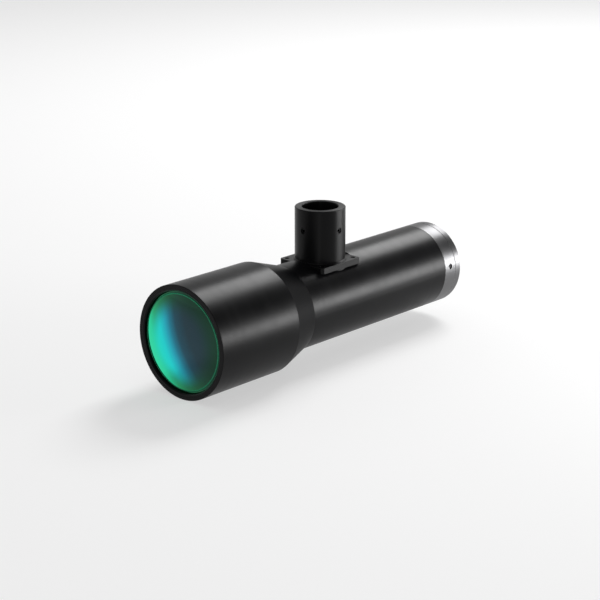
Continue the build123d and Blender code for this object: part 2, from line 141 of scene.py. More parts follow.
# Tints of the coating as it is seen more and more aslant, as they look on the screen.
MIDDLE_TINTS = (
    (0.00, (34, 56, 62)),
    (0.28, (44, 68, 78)),
    (0.33, (44, 84, 100)),
    (0.36, (42, 125, 148)),
    (0.39, (41, 172, 192)),
    (0.43, (28, 216, 214)),
    (0.48, (12, 228, 204)),
    (0.54, (6, 232, 184)),
)
MARGIN_TINTS = (
    (0.00, (26, 62, 48)),
    (0.25, (30, 70, 52)),
    (0.31, (40, 82, 64)),
    (0.37, (44, 104, 72)),
    (0.42, (40, 130, 88)),
    (0.46, (36, 165, 108)),
    (0.50, (14, 214, 156)),
    (0.55, (10, 232, 172)),
)

BODY_NODES = ("front_barrel", "front_retaining_ring", "main_tube")
INNER_NODES = (
    "front_spacer",
    "front_baffle",
    "stop_cell",
    "aperture_stop",
    "stop_spacer",
    "rear_spacer",
    "cell_retaining_ring",
    "cell_lock_ring",
)
CLEAR_NODES = (
    "front_flint_lens",
    "front_inner_lens",
    "condenser_lens",
    "rear_crown_lens",
    "rear_flint_lens",
    "rear_inner_lens",
)


class LensFinish(bpy.types.PropertyGroup):
    """Colours and finishes of the metal, the screws and the glass."""

    black: FloatVectorProperty(
        name="Anodised black",
        description="Colour of the satin black outside",
        subtype="COLOR",
        size=3,
        min=0.0,
        max=1.0,
        default=(0.0022, 0.0022, 0.0025),
    )
    worn_black: FloatVectorProperty(
        name="Worn black",
        description="Colour of the black finish along its edges",
        subtype="COLOR",
        size=3,
        min=0.0,
        max=1.0,
        default=(0.018, 0.018, 0.019),
    )
    black_roughness: FloatProperty(
        name="Black roughness",
        description="How wide the highlights on the satin black are",
        subtype="FACTOR",
        min=0.0,
        max=1.0,
        default=0.34,
    )
    black_gloss: FloatProperty(
        name="Black gloss",
        description="Specular level of the satin black",
        subtype="FACTOR",
        min=0.0,
        max=1.0,
        default=0.11,
    )
    # Painted shade: this lower specular level darkens the shoulder's cone.
    cone_shade_gloss: FloatProperty(
        name="Shoulder gloss",
        description="Specular level of the duller black on the shoulder",
        subtype="FACTOR",
        min=0.0,
        max=1.0,
        default=0.035,
    )
    port_stretch: FloatProperty(
        name="Port stretch",
        description="How far highlights are drawn out along the port by its turning marks",
        subtype="FACTOR",
        min=0.0,
        max=1.0,
        default=0.7,
    )
    dull_black: FloatVectorProperty(
        name="Inner black",
        description="Colour of the dull black pieces inside",
        subtype="COLOR",
        size=3,
        min=0.0,
        max=1.0,
        default=(0.004, 0.004, 0.004),
    )
    bright: FloatVectorProperty(
        name="Bare aluminium",
        description="Colour of the turned camera end",
        subtype="COLOR",
        size=3,
        min=0.0,
        max=1.0,
        default=(0.14, 0.14, 0.143),
    )
    bright_roughness: FloatProperty(
        name="Bright roughness",
        description="How wide the highlights on the bare aluminium are",
        subtype="FACTOR",
        min=0.0,
        max=1.0,
        default=0.42,
    )
    black_screw: FloatVectorProperty(
        name="Black screw",
        description="Colour of the black oxide screws",
        subtype="COLOR",
        size=3,
        min=0.0,
        max=1.0,
        default=(0.006, 0.006, 0.0065),
    )
    plain_screw: FloatVectorProperty(
        name="Plain screw",
        description="Colour of the plain steel screws",
        subtype="COLOR",
        size=3,
        min=0.0,
        max=1.0,
        default=(0.33, 0.33, 0.34),
    )
    groove_width: FloatProperty(
        name="Tool mark width",
        description="Spacing of the fine turning marks",
        subtype="DISTANCE",
        unit="LENGTH",
        min=0.00002,
        max=0.002,
        default=0.00022,
    )
    groove_depth: FloatProperty(
        name="Tool mark depth",
        description="Depth of the fine turning marks",
        subtype="DISTANCE",
        unit="LENGTH",
        min=0.0,
        max=0.0001,
        default=0.000004,
    )


class LensThread(bpy.types.PropertyGroup):
    """Sizes of the camera thread and the mount's bore."""

    pitch: FloatProperty(
        name="Thread pitch",
        description="Distance between turns, one inch in thirty-two",
        subtype="DISTANCE",
        unit="LENGTH",
        min=0.0002,
        max=0.003,
        default=0.0254 / 32,
    )
    depth: FloatProperty(
        name="Thread depth",
        description="Height of the thread from root to crest",
        subtype="DISTANCE",
        unit="LENGTH",
        min=0.0001,
        max=0.001,
        default=0.00044,
    )
    major: FloatProperty(
        name="Thread diameter",
        description="Diameter over the thread's crests",
        subtype="DISTANCE",
        unit="LENGTH",
        min=0.02,
        max=0.03,
        default=0.0254,
    )
    bore: FloatProperty(
        name="Clear bore",
        description="Diameter of the bore through the mount",
        subtype="DISTANCE",
        unit="LENGTH",
        min=0.015,
        max=0.025,
        default=0.0224,
    )
    steps: IntProperty(
        name="Steps around",
        description="Number of faces round the mount",
        min=48,
        max=512,
        default=216,
    )


class LensFront(bpy.types.PropertyGroup):
    """Sizes of the front barrel and of the ring that holds the glass."""

    shoulder_length: FloatProperty(
        name="Shoulder length",
        description="Length of the cone between the barrel and the tube",
        subtype="DISTANCE",
        unit="LENGTH",
        min=0.0,
        default=0.0151,
    )
    shoulder_diameter: FloatProperty(
        name="Shoulder end diameter",
        description="Diameter of the cone where it meets the tube",
        subtype="DISTANCE",
        unit="LENGTH",
        min=0.0,
        default=0.0394,
    )
    rim_reach: FloatProperty(
        name="Rim reach",
        description="How far the rim stands out past the solid's front",
        subtype="DISTANCE",
        unit="LENGTH",
        min=0.0,
        default=0.0003,
    )
    rim_bevel: FloatProperty(
        name="Rim bevel",
        description="Size of the bevel round the rim",
        subtype="DISTANCE",
        unit="LENGTH",
        min=0.0,
        default=0.0002,
    )
    lip_diameter: FloatProperty(
        name="Lip diameter",
        description="Diameter of the clear opening in the ring",
        subtype="DISTANCE",
        unit="LENGTH",
        min=0.0,
        default=0.0433,
    )
    lip_slope: FloatProperty(
        name="Lip slope",
        description="Size of the sloping face inside the ring",
        subtype="DISTANCE",
        unit="LENGTH",
        min=0.0,
        default=0.00045,
    )
    steps: IntProperty(
        name="Steps around",
        description="Number of faces round the barrel",
        min=48,
        max=512,
        default=240,
    )


class LensGlass(bpy.types.PropertyGroup):
    """Form of the front glass."""

    front_curvature: FloatProperty(
        name="Front curvature",
        description="Radius of the front face's sphere",
        subtype="DISTANCE",
        unit="LENGTH",
        min=0.03,
        default=0.085,
    )
    rear_curvature: FloatProperty(
        name="Rear curvature",
        description="Radius of the rear face's sphere",
        subtype="DISTANCE",
        unit="LENGTH",
        min=0.03,
        default=0.062,
    )
    bevel: FloatProperty(
        name="Corner bevel",
        description="Size of the bevel at each corner of the rim",
        subtype="DISTANCE",
        unit="LENGTH",
        min=0.0,
        default=0.00025,
    )
    bead_radius: FloatProperty(
        name="Bead radius",
        description="Distance of the polished bead from the axis",
        subtype="DISTANCE",
        unit="LENGTH",
        min=0.0,
        default=0.0205,
    )
    bead_half_width: FloatProperty(
        name="Bead half width",
        description="Half the width of the polished bead",
        subtype="DISTANCE",
        unit="LENGTH",
        min=0.0,
        default=0.00028,
    )
    bead_height: FloatProperty(
        name="Bead height",
        description="Height of the polished bead above the front face",
        subtype="DISTANCE",
        unit="LENGTH",
        min=0.0,
        default=0.00014,
    )
    # Painted glint: a brighter green laid along the bead, over the real reflections of its curved form.
    bead_glint_colour: FloatVectorProperty(
        name="Bead colour",
        description="Tint of the coating where it gathers along the bead",
        subtype="COLOR",
        size=3,
        min=0.0,
        max=1.0,
        default=(0.012, 0.17, 0.085),
    )
    steps: IntProperty(
        name="Steps around",
        description="Number of faces round the glass",
        min=48,
        max=512,
        default=240,
    )


class LensStage(bpy.types.PropertyGroup):
    """Camera, floor and lights."""

    azimuth: FloatProperty(
        name="Camera azimuth",
        description="Turn of the camera round the lens, from straight in front",
        subtype="ANGLE",
        unit="ROTATION",
        default=0.732369,
    )
    elevation: FloatProperty(
        name="Camera elevation",
        description="Height of the camera above the horizon",
        subtype="ANGLE",
        unit="ROTATION",
        default=0.300438,
    )
    place: FloatVectorProperty(
        name="Camera place",
        description="Where the camera stands",
        subtype="TRANSLATION",
        unit="LENGTH",
        size=3,
        default=(0.46985, -0.6132, 0.21931),
    )
    focal: FloatProperty(
        name="Focal length",
        description="Focal length in millimetres on a 36 mm sensor",
        min=20.0,
        max=300.0,
        default=101.39,
    )
    floor_radius: FloatProperty(
        name="Floor radius",
        description="Radius of the round floor",
        subtype="DISTANCE",
        unit="LENGTH",
        min=1.0,
        max=50.0,
        default=14.0,
    )
    floor_colour: FloatVectorProperty(
        name="Floor colour",
        description="Colour of the pale floor",
        subtype="COLOR",
        size=3,
        min=0.0,
        max=1.0,
        default=(0.45, 0.45, 0.45),
    )
    floor_glow: FloatProperty(
        name="Floor glow",
        description="Light that the floor gives off, as a light table does",
        min=0.0,
        default=0.5,
    )
    key_power: FloatProperty(
        name="Key light power",
        description="Power of the light behind and above",
        unit="POWER",
        min=0.0,
        default=11.0,
    )
    side_power: FloatProperty(
        name="Side light power",
        description="Power of the low light on the right",
        unit="POWER",
        min=0.0,
        default=2.1,
    )
    strip_power: FloatProperty(
        name="Strip light power",
        description="Power of the narrow light beside the camera",
        unit="POWER",
        min=0.0,
        default=0.25,
    )
    overhead_strength: FloatProperty(
        name="Overhead strength",
        description="Strength of the wide soft light straight above",
        min=0.0,
        default=0.5,
    )


def new_material(name):
    """A fresh material with an empty node tree, and its tree."""
    material = bpy.data.materials.new(name)
    material.use_nodes = True
    material.node_tree.nodes.clear()
    return material, material.node_tree


def add_node(tree, kind, inputs=None, **settings):
    """Adds a node. Inputs are values, or sockets that are linked to it."""
    node = tree.nodes.new(kind)
    for name, value in settings.items():
        setattr(node, name, value)
    for key, value in (inputs or {}).items():
        if isinstance(value, bpy.types.NodeSocket):
            tree.links.new(value, node.inputs[key])
        else:
            node.inputs[key].default_value = value
    return node


def calculate(tree, operation, first, second=0.0, third=0.0):
    """The result of one arithmetic step on values or sockets."""
    inputs = {0: first, 1: second, 2: third}
    return add_node(tree, "ShaderNodeMath", inputs, operation=operation).outputs[0]


def remap(tree, value, low, high, to_low=0.0, to_high=1.0):
    """A smooth step of value from low to high, as a number from to_low to to_high."""
    inputs = {"Value": value, "From Min": low, "From Max": high, "To Min": to_low, "To Max": to_high}
    node = add_node(tree, "ShaderNodeMapRange", inputs, interpolation_type="SMOOTHSTEP")
    return node.outputs["Result"]


def blend_colours(tree, factor, first, second):
    """The mix of two colours by a factor."""
    node = add_node(tree, "ShaderNodeMix", data_type="RGBA")
    for key, value in (("Factor", factor), ("A", first), ("B", second)):
        sockets = [s for s in node.inputs if s.name == key and s.enabled]
        if isinstance(value, bpy.types.NodeSocket):
            tree.links.new(value, sockets[0])
        elif key == "Factor":
            sockets[0].default_value = value
        else:
            sockets[0].default_value = (*value[:3], 1.0)
    return [s for s in node.outputs if s.name == "Result" and s.enabled][0]


def colour_ramp(tree, factor, stops):
    """A colour ramp with (position, colour) stops."""
    node = add_node(tree, "ShaderNodeValToRGB", {"Fac": factor})
    ramp = node.color_ramp
    ramp.interpolation = "LINEAR"
    while len(ramp.elements) < len(stops):
        ramp.elements.new(0.5)
    for element, (position, colour) in zip(ramp.elements, stops):
        element.position = position
        element.color = (*colour, 1.0)
    return node.outputs["Color"]


def screen_colour(levels):
    """A colour given as it looks on the screen, from 0 to 255, in linear light."""
    shares = [level / 255 for level in levels]
    return tuple(s / 12.92 if s <= 0.04045 else ((s + 0.055) / 1.055) ** 2.4 for s in shares)


def noise(tree, place, scale, detail, distortion=0.0):
    """Soft noise, from 0 to 1, at places given by a socket."""
    inputs = {"Vector": place, "Scale": scale, "Detail": detail, "Distortion": distortion}
    return add_node(tree, "ShaderNodeTexNoise", inputs).outputs[0]


def vary(tree, noise_value, amount, middle):
    """A value that the noise moves round its middle by this amount from end to end."""
    return calculate(tree, "MULTIPLY_ADD", calculate(tree, "SUBTRACT", noise_value, 0.5), amount, middle)


def object_place(tree):
    """The Object coordinates."""
    return add_node(tree, "ShaderNodeTexCoord").outputs["Object"]


def axis_coordinates(tree, upright):
    """Place along a turning axis, distance from it, and the plain Object coordinates.

    The axis is the port's when upright is true and the optical axis otherwise.
    """
    source = object_place(tree)
    centre = add_node(tree, "ShaderNodeMapping", {"Vector": source})
    if upright:
        centre.inputs["Location"].default_value = (0.0, -PORT_Y, 0.0)
    parts = add_node(tree, "ShaderNodeSeparateXYZ", {0: centre.outputs[0]}).outputs
    across, along = ("Y", "Z") if upright else ("Z", "Y")
    squares = [calculate(tree, "MULTIPLY", parts[key], parts[key]) for key in ("X", across)]
    radius = calculate(tree, "SQRT", calculate(tree, "ADD", *squares))
    return parts[along], radius, source


def tangent_round(tree, upright):
    """The direction round a turning axis, which the turning marks follow."""
    axis = "Z" if upright else "Y"
    return add_node(tree, "ShaderNodeTangent", direction_type="RADIAL", axis=axis).outputs[0]


def turning_marks(tree, finish, along, radius, stretch=1.0):
    """Noise that changes along and across the turning axis but not round it."""
    scale = stretch / finish.groove_width
    inputs = {
        "X": calculate(tree, "MULTIPLY", along, scale),
        "Y": calculate(tree, "MULTIPLY", radius, scale / 3),
    }
    return noise(tree, add_node(tree, "ShaderNodeCombineXYZ", inputs).outputs[0], 1.0, 2.0)


def marked_normal(tree, strength, depth, height, normal=None):
    """The normal with a fine relief of this depth on it."""
    inputs = {"Strength": strength, "Distance": depth, "Height": height}
    if normal is not None:
        inputs["Normal"] = normal
    return add_node(tree, "ShaderNodeBump", inputs).outputs[0]


def soft_edge(tree, width):
    """The normal with edges rounded to this width, and a mask that is 1 along the edges."""
    rounded = add_node(tree, "ShaderNodeBevel", {"Radius": width}, samples=4).outputs[0]
    plain = add_node(tree, "ShaderNodeNewGeometry").outputs["Normal"]
    match = add_node(tree, "ShaderNodeVectorMath", {0: rounded, 1: plain}, operation="DOT_PRODUCT")
    return rounded, remap(tree, match.outputs["Value"], 0.995, 0.90)


def finish_material(tree, inputs):
    """Joins a Principled shader with these inputs to the material's output."""
    shader = add_node(tree, "ShaderNodeBsdfPrincipled", inputs)
    add_node(tree, "ShaderNodeOutputMaterial", {"Surface": shader.outputs[0]})


def anodised_black(name, finish, upright, gloss):
    """Satin black anodised aluminium with turning marks and slightly paler edges."""
    material, tree = new_material(name)
    along, radius, source = axis_coordinates(tree, upright)
    fine = turning_marks(tree, finish, along, radius)
    broad = turning_marks(tree, finish, along, radius, 0.12)
    cloud = noise(tree, source, 90.0, 4.0)
    normal, edge = soft_edge(tree, 0.12 * MM)
    dark = [value * 0.8 for value in finish.black]
    pale = [value * 1.25 for value in finish.black]
    wear = calculate(tree, "MULTIPLY", edge, remap(tree, cloud, 0.35, 0.75, 0.25, 0.8))
    colour = blend_colours(tree, wear, blend_colours(tree, cloud, dark, pale), finish.worn_black)
    spread = vary(tree, broad, 0.10, finish.black_roughness)
    inputs = {
        "Base Color": colour,
        "Roughness": vary(tree, cloud, 0.06, spread),
        "Normal": marked_normal(tree, 1.0, finish.groove_depth, fine, normal),
        "Tangent": tangent_round(tree, upright),
        "Specular IOR Level": gloss,
        "Anisotropic": finish.port_stretch if upright else 0.0,
        "Anisotropic Rotation": 0.25,
    }
    finish_material(tree, inputs)
    return material


def blasted_black(name, finish):
    """Dull black for the pieces inside, with a fine grain."""
    material, tree = new_material(name)
    source = object_place(tree)
    grain = noise(tree, source, 5200.0, 2.0)
    cloud = noise(tree, source, 140.0, 3.0)
    dark = [value * 0.7 for value in finish.dull_black]
    pale = [value * 1.6 for value in finish.dull_black]
    inputs = {
        "Base Color": blend_colours(tree, cloud, dark, pale),
        "Roughness": remap(tree, cloud, 0.3, 0.7, 0.55, 0.7),
        "Normal": marked_normal(tree, 0.5, 0.01 * MM, grain),
        "Specular IOR Level": 0.2,
    }
    finish_material(tree, inputs)
    return material


def turned_bright(name, finish):
    """Bare aluminium with turning marks, faint smears and softened edges."""
    material, tree = new_material(name)
    along, radius, source = axis_coordinates(tree, False)
    fine = turning_marks(tree, finish, along, radius)
    broad = turning_marks(tree, finish, along, radius, 0.15)
    smear = noise(tree, source, 160.0, 5.0, 0.6)
    normal, edge = soft_edge(tree, 0.1 * MM)
    dark = [value * 0.93 for value in finish.bright]
    pale = [min(1.0, value * 1.05) for value in finish.bright]
    colour = blend_colours(tree, smear, dark, pale)
    colour = blend_colours(tree, calculate(tree, "MULTIPLY", edge, 0.4), colour, (0.92, 0.92, 0.92))
    spread = vary(tree, broad, 0.12, finish.bright_roughness)
    inputs = {
        "Base Color": colour,
        "Metallic": 1.0,
        "Roughness": vary(tree, smear, 0.10, spread),
        "Normal": marked_normal(tree, 1.0, finish.groove_depth, fine, normal),
        "Tangent": tangent_round(tree, False),
        "Anisotropic": 0.5,
        "Anisotropic Rotation": 0.25,
    }
    finish_material(tree, inputs)
    return material


def screw_steel(name, steel, roughness):
    """Screw steel of this colour with a fine uneven surface."""
    material, tree = new_material(name)
    grain = noise(tree, object_place(tree), 3800.0, 3.0)
    normal, edge = soft_edge(tree, 0.06 * MM)
    dark = [value * 0.7 for value in steel]
    pale = [min(1.0, value * 1.2) for value in steel]
    worn = [value * 1.8 for value in steel]
    colour = blend_colours(tree, grain, dark, pale)
    inputs = {
        "Base Color": blend_colours(tree, calculate(tree, "MULTIPLY", edge, 0.5), colour, worn),
        "Metallic": 0.9,
        "Roughness": calculate(tree, "MULTIPLY_ADD", grain, 0.12, roughness),
        "Normal": marked_normal(tree, 0.4, 0.006 * MM, grain, normal),
    }
    finish_material(tree, inputs)
    return material


def clear_glass(name, tint, silver=0.0):
    """Polished glass with faint polishing marks, and silvered to a share of one."""
    material, tree = new_material(name)
    haze = noise(tree, object_place(tree), 700.0, 3.0)
    pale = [min(1.0, value * 1.04) for value in tint]
    inputs = {
        "Base Color": blend_colours(tree, haze, tint, pale),
        "Roughness": remap(tree, haze, 0.4, 0.8, 0.0, 0.02),
        "IOR": 1.52,
        "Transmission Weight": 1.0 - silver,
        "Metallic": silver,
    }
    finish_material(tree, inputs)
    return material


def coated_glass(name, glass):
    """Front glass whose coating turns from slate through blue and cyan to green as it is seen aslant.

    The hue follows the angle of incidence, as a thin film's does, and turns greener towards the rim. On the
    bead a brighter green is a painted glint, over the real reflections of the bead's curve.
    """
    material, tree = new_material(name)
    _, radius, source = axis_coordinates(tree, False)
    slant = add_node(tree, "ShaderNodeLayerWeight", {"Blend": 0.5}).outputs["Facing"]
    middle, margin = (
        colour_ramp(tree, slant, [(share, screen_colour(levels)) for share, levels in tints])
        for tints in (MIDDLE_TINTS, MARGIN_TINTS)
    )
    haze = noise(tree, source, 500.0, 3.0)
    rim = remap(tree, radius, 0.5 * GLASS_RADIUS, 0.9 * GLASS_RADIUS)
    # Painted glint: a brighter green ring along the bead, on top of the real reflections of the bead's curve.
    reach = calculate(tree, "ABSOLUTE", calculate(tree, "SUBTRACT", radius, glass.bead_radius))
    bead = remap(tree, reach, glass.bead_half_width * 1.3, glass.bead_half_width * 0.5)
    inputs = {
        "Base Color": blend_colours(tree, bead, blend_colours(tree, rim, middle, margin), glass.bead_glint_colour),
        "Metallic": remap(tree, slant, 0.25, 0.40, 0.8, 1.0),
        "Roughness": remap(tree, haze, 0.4, 0.8, 0.02, 0.05),
        "IOR": 1.52,
        "Transmission Weight": 1.0,
    }
    finish_material(tree, inputs)
    return material


def dress(names, material):
    """Gives CAD nodes a material."""
    for name in names:
        mesh = NODES[name].data
        mesh.materials.clear()
        mesh.materials.append(material)
        mesh.polygons.foreach_set("material_index", np.zeros(len(mesh.polygons), np.int32))


def new_piece(name, points, faces):
    """An object at the origin with a mesh of these points and faces."""
    mesh = bpy.data.meshes.new(name)
    mesh.from_pydata(points, [], faces)
    mesh.validate()
    piece = bpy.data.objects.new(name, mesh)
    bpy.context.scene.collection.objects.link(piece)
    return piece


def ring_points(r, y, turns):
    """Points at distance r from the optical axis and station y: (r cos t, y, r sin t) at each turn t."""
    return np.stack([r * np.cos(turns), y + 0 * turns, r * np.sin(turns)], axis=-1)


def full_turn(steps):
    """Evenly spaced turns once round, without the last, which is the first again."""
    return np.linspace(0, 2 * math.pi, steps, endpoint=False)


def grid_faces(rows, columns, wrap_rows):
    """The faces of a grid of points, closed across its columns, and across its rows if asked."""
    index = np.arange(rows * columns).reshape(rows, columns)
    below = np.roll(index, -1, axis=0)
    if not wrap_rows:
        index, below = index[:-1], below[:-1]
    faces = np.stack([index, below, np.roll(below, -1, axis=1), np.roll(index, -1, axis=1)], axis=-1)
    return faces.reshape(-1, 4)


def closed_grid(name, points):
    """A piece from a grid of points that is closed both ways."""
    return new_piece(name, points.reshape(-1, 3), grid_faces(*points.shape[:2], True))


def smooth_with_edges(piece, angle):
    """Smooth shading, with edges sharper than the angle left sharp."""
    piece.data.shade_smooth()
    piece.data.set_sharp_from_angle(angle=angle)


def threaded_profile(profile, thread, start, end):
    """The mount's surface as a grid of (profile point, turn about the optical axis).

    The profile's one empty entry stands for the threaded length.
    A point at distance r and station y stands at (r cos t, y, r sin t). Between the thread's start and
    end, r is less by a groove with flanks at 60 degrees, flat at crest and root, which moves on by one
    pitch a turn: depth times the clipped triangle wave of y / pitch - t / (2 pi).
    """
    rows = 1 + round((end - start) / thread.pitch * THREAD_ROWS_PER_TURN)
    stations = np.linspace(start, end, rows)
    outline = []
    for radius, y in profile:
        if radius is None:
            outline += [(thread.major / 2, station) for station in stations]
        else:
            outline.append((radius, y))
    outline = np.array(outline)
    turns = full_turn(thread.steps)
    r, y = outline[:, :1], outline[:, 1:]
    phase = np.mod(y / thread.pitch - turns / (2 * math.pi), 1.0)
    groove = np.clip(THREAD_FLANK_SLOPE * (1 - np.abs(2 * phase - 1)) - THREAD_CREST_SHARE, 0, 1)
    run_in = np.clip((y - start) / (thread.pitch / 2), 0, 1) * np.clip((end - y) / (thread.pitch / 4), 0, 1)
    on_thread = (r == thread.major / 2) & (y >= start) & (y <= end)
    return ring_points(r - on_thread * run_in * groove * thread.depth, y, turns)


def sagitta(curvature, radius):
    """How far a spherical face has moved along the axis at this distance from its vertex."""
    return radius**2 / (curvature * (1 + np.sqrt(1 - (radius / curvature) ** 2)))


def front_glass_profile(glass):
    """The crown lens's half section, as (distance from the axis, station) points.

    The front is a sphere with a small polished bead near its rim: the station is the vertex plus the
    sphere's sagitta, less height times sqrt(1 - ((r - bead radius) / half width)^2) on the bead.
    Behind the rim the rear is a sphere that bulges towards the camera.
    """
    across = np.sin(np.linspace(-math.pi / 2, math.pi / 2, BEAD_POINTS))
    bead = glass.bead_radius + glass.bead_half_width * across
    corner = GLASS_RADIUS - glass.bevel
    face = np.linspace(0, bead[0], FACE_POINTS)[:-1]
    margin = np.linspace(bead[-1], corner, MARGIN_POINTS)[1:]
    front_r = np.concatenate([face, bead, margin])
    rise = np.sqrt(np.clip(1 - ((front_r - glass.bead_radius) / glass.bead_half_width) ** 2, 0, 1))
    front_y = GLASS_LOW.y + sagitta(glass.front_curvature, front_r) - glass.bead_height * rise
    rear_r = np.linspace(corner, 0, FACE_POINTS)
    rear_y = GLASS_HIGH.y - sagitta(glass.rear_curvature, rear_r)
    rim = [(GLASS_RADIUS, front_y[-1] + glass.bevel), (GLASS_RADIUS, rear_y[0] - glass.bevel)]
    front, rear = np.stack([front_r, front_y], axis=-1), np.stack([rear_r, rear_y], axis=-1)
    return np.concatenate([front, rim, rear])


def turned_solid(name, profile, steps):
    """A closed solid of revolution about the optical axis from a profile that starts and ends on the axis.

    A point at distance r and station y stands at (r cos t, y, r sin t). Each end is a single vertex.
    """
    inner = profile[1:-1]
    rings = ring_points(inner[:, :1], inner[:, 1:], full_turn(steps)).reshape(-1, 3)
    ends = [(0.0, profile[0, 1], 0.0), (0.0, profile[-1, 1], 0.0)]
    sides = grid_faces(len(inner), steps, False)
    index = np.arange(len(rings)).reshape(-1, steps)
    after = np.roll(index, -1, axis=1)
    first, last = np.full(steps, len(rings)), np.full(steps, len(rings) + 1)
    front = np.stack([first, index[0], after[0]], axis=-1)
    rear = np.stack([last, after[-1], index[-1]], axis=-1)
    faces = [*sides.tolist(), *front.tolist(), *rear.tolist()]
    return new_piece(name, np.concatenate([rings, ends]), faces)


def turned_ring(name, profile, steps):
    """A closed ring of revolution about the optical axis from a closed profile in millimetres.

    A point at distance r and station y stands at (r cos t, y, r sin t). The profile runs outside first,
    towards the camera end, and back inside.
    """
    outline = np.array(profile) * MM
    return closed_grid(name, ring_points(outline[:, :1], outline[:, 1:], full_turn(steps)))


def barrel_profile(front):
    """The barrel's outline in millimetres: rim, outside, cone, socket, inner lip, grooves and ring thread."""
    rim_y = (BARREL_LOW.y - front.rim_reach) / MM
    outer = BARREL_HIGH.x / MM
    bevel = front.rim_bevel / MM
    end_y = TUBE_FRONT_Y / MM
    end_r = front.shoulder_diameter / 2 / MM
    socket_y = end_y - SOCKET_DEPTH
    lip_y = socket_y - INNER_LIP_LENGTH
    cone_y = lip_y - INNER_CONE_LENGTH
    profile = [
        (RING_THREAD_RADIUS, rim_y),
        (outer - bevel, rim_y),
        (outer, rim_y + bevel),
        (outer, end_y - front.shoulder_length / MM),
        (end_r, end_y - BARREL_EDGE_BREAK),
        (end_r - BARREL_EDGE_BREAK, end_y),
        (SOCKET_RADIUS, end_y),
        (SOCKET_RADIUS, socket_y),
        (INNER_LIP_RADIUS, socket_y),
        (INNER_LIP_RADIUS, lip_y),
        (SEAT_RADIUS, cone_y),
    ]
    bottom = SEAT_RADIUS + LIGHT_GROOVE_DEPTH
    for groove in range(LIGHT_GROOVES):
        start = cone_y - (groove + 0.5) * LIGHT_GROOVE_PITCH
        end = start - LIGHT_GROOVE_LENGTH
        profile += [(SEAT_RADIUS, start), (bottom, start), (bottom, end), (SEAT_RADIUS, end)]
    glass_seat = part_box("front_inner_lens")[1].y / MM
    thread_end = BARREL_LOW.y / MM + RING_THREAD_LENGTH
    return profile + [
        (SEAT_RADIUS, glass_seat),
        (GLASS_BORE_RADIUS, glass_seat),
        (GLASS_BORE_RADIUS, thread_end),
        (RING_THREAD_RADIUS, thread_end),
    ]


def front_ring_profile(front):
    """The front ring's outline in millimetres, with its sloping lip and a skirt round the glass."""
    ring_low = (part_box("front_retaining_ring")[0].y - front.rim_reach) / MM
    ring_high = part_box("front_retaining_ring")[1].y / MM
    lip, slope = front.lip_diameter / 2 / MM, front.lip_slope / MM
    lip_rest = BARREL_LOW.y / MM + LIP_REST_DEPTH
    return [
        (lip + slope, ring_low),
        (RING_RADIUS, ring_low),
        (RING_RADIUS, ring_high),
        (GLASS_BORE_RADIUS, ring_high),
        (GLASS_BORE_RADIUS, lip_rest + LIP_REST_RISE),
        (lip, lip_rest),
        (lip, ring_low + slope),
    ]


class LENS_OT_bodies(bpy.types.Operator):
    """Finish the tube and the port, and build the barrel and the front ring, in satin black"""

    bl_idname = "lens.bodies"
    bl_label = "Black bodies"

    def shade_the_cone(self, piece, front, material):
        """Give the shoulder's cone its own, duller black: painted shade, a lower specular level that darkens
        the cone.
        """
        mesh = piece.data
        mesh.materials.append(material)
        middles = np.zeros(3 * len(mesh.polygons), np.float32)
        mesh.polygons.foreach_get("center", middles)
        x, y, z = middles.reshape(-1, 3).T
        along = (y > TUBE_FRONT_Y - front.shoulder_length) & (y < TUBE_FRONT_Y)
        on_cone = along & (np.hypot(x, z) > front.shoulder_diameter / 2)
        mesh.polygons.foreach_set("material_index", on_cone.astype(np.int32))

    def execute(self, context):
        finish = context.scene.lens_finish
        front = context.scene.lens_front
        gloss = finish.black_gloss
        black = anodised_black("anodised_black", finish, False, gloss)
        # Painted shade: the shoulder's cone gets a copy of the black with a lower specular level, so it looks
        # darker.
        dull = anodised_black("anodised_black_cone_shaded", finish, False, finish.cone_shade_gloss)
        dress(BODY_NODES, black)
        dress(["light_port"], anodised_black("anodised_black_port", finish, True, gloss))
        for node, profile in (
            ("front_barrel", barrel_profile(front)),
            ("front_retaining_ring", front_ring_profile(front)),
        ):
            piece = turned_ring(node + "_turned", profile, front.steps)
            smooth_with_edges(piece, TURNED_SHARP)
            piece.data.materials.append(black)
            if node == "front_barrel":
                self.shade_the_cone(piece, front, dull)
            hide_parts(node)
            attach(piece, "root")
        return {"FINISHED"}


class LENS_OT_inside(bpy.types.Operator):
    """Finish the rings, cells and the holder inside in dull black"""

    bl_idname = "lens.inside"
    bl_label = "Inner metal"

    def execute(self, context):
        material = blasted_black("blasted_black", context.scene.lens_finish)
        dress([*INNER_NODES, "beamsplitter_holder"], material)
        return {"FINISHED"}


